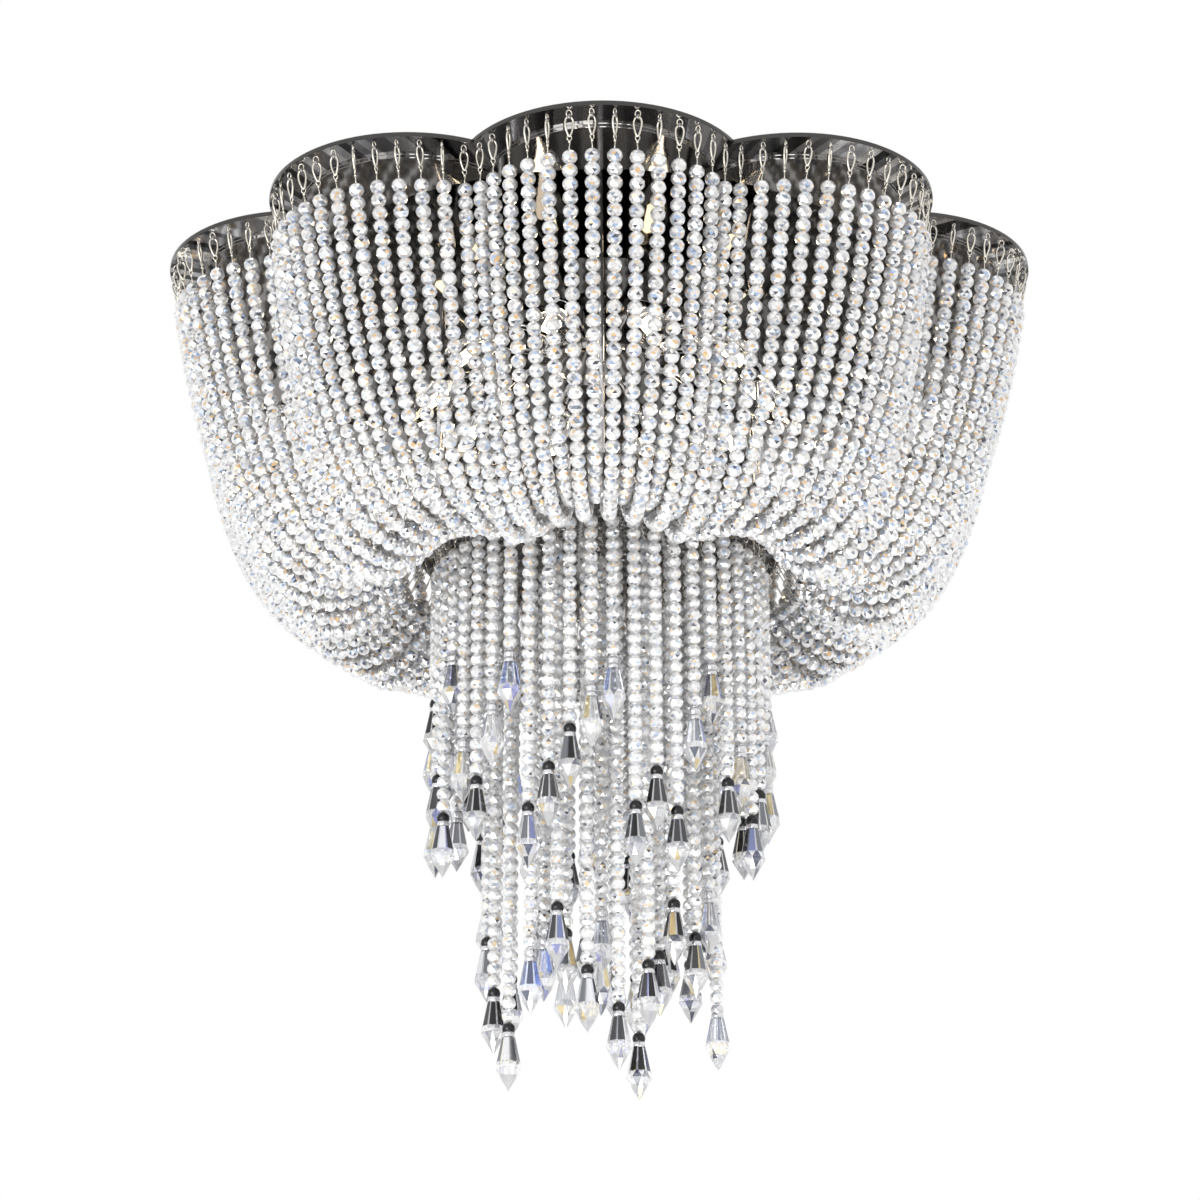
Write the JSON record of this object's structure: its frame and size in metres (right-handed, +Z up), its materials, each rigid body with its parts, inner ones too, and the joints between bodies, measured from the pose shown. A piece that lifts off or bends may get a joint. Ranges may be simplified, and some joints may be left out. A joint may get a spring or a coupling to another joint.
{
  "type": "crystal chandelier",
  "caption": "Flush-mounted chandelier: a lobed mirror-metal pan holds lamps, a bowl of swagged crystal bead strands, and tiers of bead pendants that end in cut drops.",
  "frame": {"origin": "centre of the bracket face that meets the ceiling", "axes": "+Z up, out of the ceiling face; the front is -Y, in line with the middle of a lobe"},
  "size_m": [0.7728, 0.8, 0.746],
  "materials": {
    "black_nickel": "dark mirror plating",
    "chrome": "polished",
    "silver_wire": "polished wire",
    "zinc_plated_steel": "zinc plated",
    "white_plastic": "moulded",
    "clear_glass": "clear lamp glass",
    "cut_crystal": "faceted and polished"
  },
  "bodies": {
    "frame": {"bowl_strands_01": "cut_crystal", "bowl_strands_02": "cut_crystal", "bowl_strands_03": "cut_crystal", "bowl_strands_04": "cut_crystal", "bowl_strands_05": "cut_crystal", "bowl_strands_06": "cut_crystal", "bowl_strands_07": "cut_crystal", "bowl_strands_08": "cut_crystal", "bowl_strands_09": "cut_crystal", "bowl_strands_10": "cut_crystal", "bulbs": "clear_glass", "canopy_cap_nuts": "black_nickel", "canopy_pan": "black_nickel", "ceiling_bracket": "zinc_plated_steel", "lamp_arms": "chrome", "lamp_hub": "black_nickel", "lampholders": "chrome", "lower_dish": "black_nickel", "rim_hooks": "silver_wire", "suspension_rod_nuts": "chrome", "suspension_rods": "chrome", "terminal_block": "white_plastic"},
    "inner_pendants_01": {"inner_pendants_01": "cut_crystal"},
    "inner_pendants_02": {"inner_pendants_02": "cut_crystal"},
    "inner_pendants_03": {"inner_pendants_03": "cut_crystal"},
    "inner_pendants_04": {"inner_pendants_04": "cut_crystal"},
    "inner_pendants_05": {"inner_pendants_05": "cut_crystal"},
    "middle_pendants_01": {"middle_pendants_01": "cut_crystal"},
    "middle_pendants_02": {"middle_pendants_02": "cut_crystal"},
    "middle_pendants_03": {"middle_pendants_03": "cut_crystal"},
    "middle_pendants_04": {"middle_pendants_04": "cut_crystal"},
    "middle_pendants_05": {"middle_pendants_05": "cut_crystal"},
    "middle_pendants_06": {"middle_pendants_06": "cut_crystal"},
    "middle_pendants_07": {"middle_pendants_07": "cut_crystal"},
    "middle_pendants_08": {"middle_pendants_08": "cut_crystal"},
    "outer_pendants_01": {"outer_pendants_01": "cut_crystal"},
    "outer_pendants_02": {"outer_pendants_02": "cut_crystal"},
    "outer_pendants_03": {"outer_pendants_03": "cut_crystal"},
    "outer_pendants_04": {"outer_pendants_04": "cut_crystal"},
    "outer_pendants_05": {"outer_pendants_05": "cut_crystal"},
    "outer_pendants_06": {"outer_pendants_06": "cut_crystal"},
    "outer_pendants_07": {"outer_pendants_07": "cut_crystal"},
    "outer_pendants_08": {"outer_pendants_08": "cut_crystal"},
    "outer_pendants_09": {"outer_pendants_09": "cut_crystal"},
    "outer_pendants_10": {"outer_pendants_10": "cut_crystal"}
  },
  "joints": [
    {"name": "inner_swing_01", "type": "hinge", "parent": "frame", "child": "inner_pendants_01", "pos_m": [0.01528, -0.04703, -0.24], "axis": [-0.9511, -0.309, 0], "range_deg": [-1, 2]},
    {"name": "inner_swing_02", "type": "hinge", "parent": "frame", "child": "inner_pendants_02", "pos_m": [0.04945, 0, -0.24], "axis": [0, -1, 0], "range_deg": [-1, 2]},
    {"name": "inner_swing_03", "type": "hinge", "parent": "frame", "child": "inner_pendants_03", "pos_m": [0.01528, 0.04703, -0.24], "axis": [0.9511, -0.309, 0], "range_deg": [-1, 2]},
    {"name": "inner_swing_04", "type": "hinge", "parent": "frame", "child": "inner_pendants_04", "pos_m": [-0.04001, 0.02907, -0.24], "axis": [0.5878, 0.809, 0], "range_deg": [-1, 2]},
    {"name": "inner_swing_05", "type": "hinge", "parent": "frame", "child": "inner_pendants_05", "pos_m": [-0.04001, -0.02907, -0.24], "axis": [-0.5878, 0.809, 0], "range_deg": [-1, 2]},
    {"name": "middle_swing_01", "type": "hinge", "parent": "frame", "child": "middle_pendants_01", "pos_m": [0.03703, -0.0894, -0.24], "axis": [-0.9239, -0.3827, 0], "range_deg": [-1.2, 4.5]},
    {"name": "middle_swing_02", "type": "hinge", "parent": "frame", "child": "middle_pendants_02", "pos_m": [0.08928, -0.03698, -0.24], "axis": [-0.3827, -0.9239, 0], "range_deg": [-1.2, 4.5]},
    {"name": "middle_swing_03", "type": "hinge", "parent": "frame", "child": "middle_pendants_03", "pos_m": [0.08934, 0.03701, -0.24], "axis": [0.3827, -0.9239, 0], "range_deg": [-1.2, 4.5]},
    {"name": "middle_swing_04", "type": "hinge", "parent": "frame", "child": "middle_pendants_04", "pos_m": [0.03704, 0.08943, -0.24], "axis": [0.9239, -0.3827, 0], "range_deg": [-1.2, 4.5]},
    {"name": "middle_swing_05", "type": "hinge", "parent": "frame", "child": "middle_pendants_05", "pos_m": [-0.03699, 0.0893, -0.24], "axis": [0.9239, 0.3827, 0], "range_deg": [-1.2, 4.5]},
    {"name": "middle_swing_06", "type": "hinge", "parent": "frame", "child": "middle_pendants_06", "pos_m": [-0.08936, 0.03701, -0.24], "axis": [0.3827, 0.9239, 0], "range_deg": [-1.2, 4.5]},
    {"name": "middle_swing_07", "type": "hinge", "parent": "frame", "child": "middle_pendants_07", "pos_m": [-0.0894, -0.03703, -0.24], "axis": [-0.3827, 0.9239, 0], "range_deg": [-1.2, 4.5]},
    {"name": "middle_swing_08", "type": "hinge", "parent": "frame", "child": "middle_pendants_08", "pos_m": [-0.037, -0.08932, -0.24], "axis": [-0.9239, 0.3827, 0], "range_deg": [-1.2, 4.5]},
    {"name": "outer_swing_01", "type": "hinge", "parent": "frame", "child": "outer_pendants_01", "pos_m": [0.04449, -0.13694, -0.24], "axis": [-0.9511, -0.309, 0], "range_deg": [-0.5, 8]},
    {"name": "outer_swing_02", "type": "hinge", "parent": "frame", "child": "outer_pendants_02", "pos_m": [0.11636, -0.08454, -0.24], "axis": [-0.5878, -0.809, 0], "range_deg": [-0.5, 8]},
    {"name": "outer_swing_03", "type": "hinge", "parent": "frame", "child": "outer_pendants_03", "pos_m": [0.14365, 0, -0.24], "axis": [0, -1, 0], "range_deg": [-0.5, 8]},
    {"name": "outer_swing_04", "type": "hinge", "parent": "frame", "child": "outer_pendants_04", "pos_m": [0.1163, 0.0845, -0.24], "axis": [0.5878, -0.809, 0], "range_deg": [-0.5, 8]},
    {"name": "outer_swing_05", "type": "hinge", "parent": "frame", "child": "outer_pendants_05", "pos_m": [0.04446, 0.13682, -0.24], "axis": [0.9511, -0.309, 0], "range_deg": [-0.5, 8]},
    {"name": "outer_swing_06", "type": "hinge", "parent": "frame", "child": "outer_pendants_06", "pos_m": [-0.04443, 0.13674, -0.24], "axis": [0.9511, 0.309, 0], "range_deg": [-0.5, 8]},
    {"name": "outer_swing_07", "type": "hinge", "parent": "frame", "child": "outer_pendants_07", "pos_m": [-0.11632, 0.08451, -0.24], "axis": [0.5878, 0.809, 0], "range_deg": [-0.5, 8]},
    {"name": "outer_swing_08", "type": "hinge", "parent": "frame", "child": "outer_pendants_08", "pos_m": [-0.14361, 0, -0.24], "axis": [0, 1, 0], "range_deg": [-0.5, 8]},
    {"name": "outer_swing_09", "type": "hinge", "parent": "frame", "child": "outer_pendants_09", "pos_m": [-0.11619, -0.08441, -0.24], "axis": [-0.5878, 0.809, 0], "range_deg": [-0.5, 8]},
    {"name": "outer_swing_10", "type": "hinge", "parent": "frame", "child": "outer_pendants_10", "pos_m": [-0.04449, -0.13694, -0.24], "axis": [-0.9511, 0.309, 0], "range_deg": [-0.5, 8]}
  ]
}
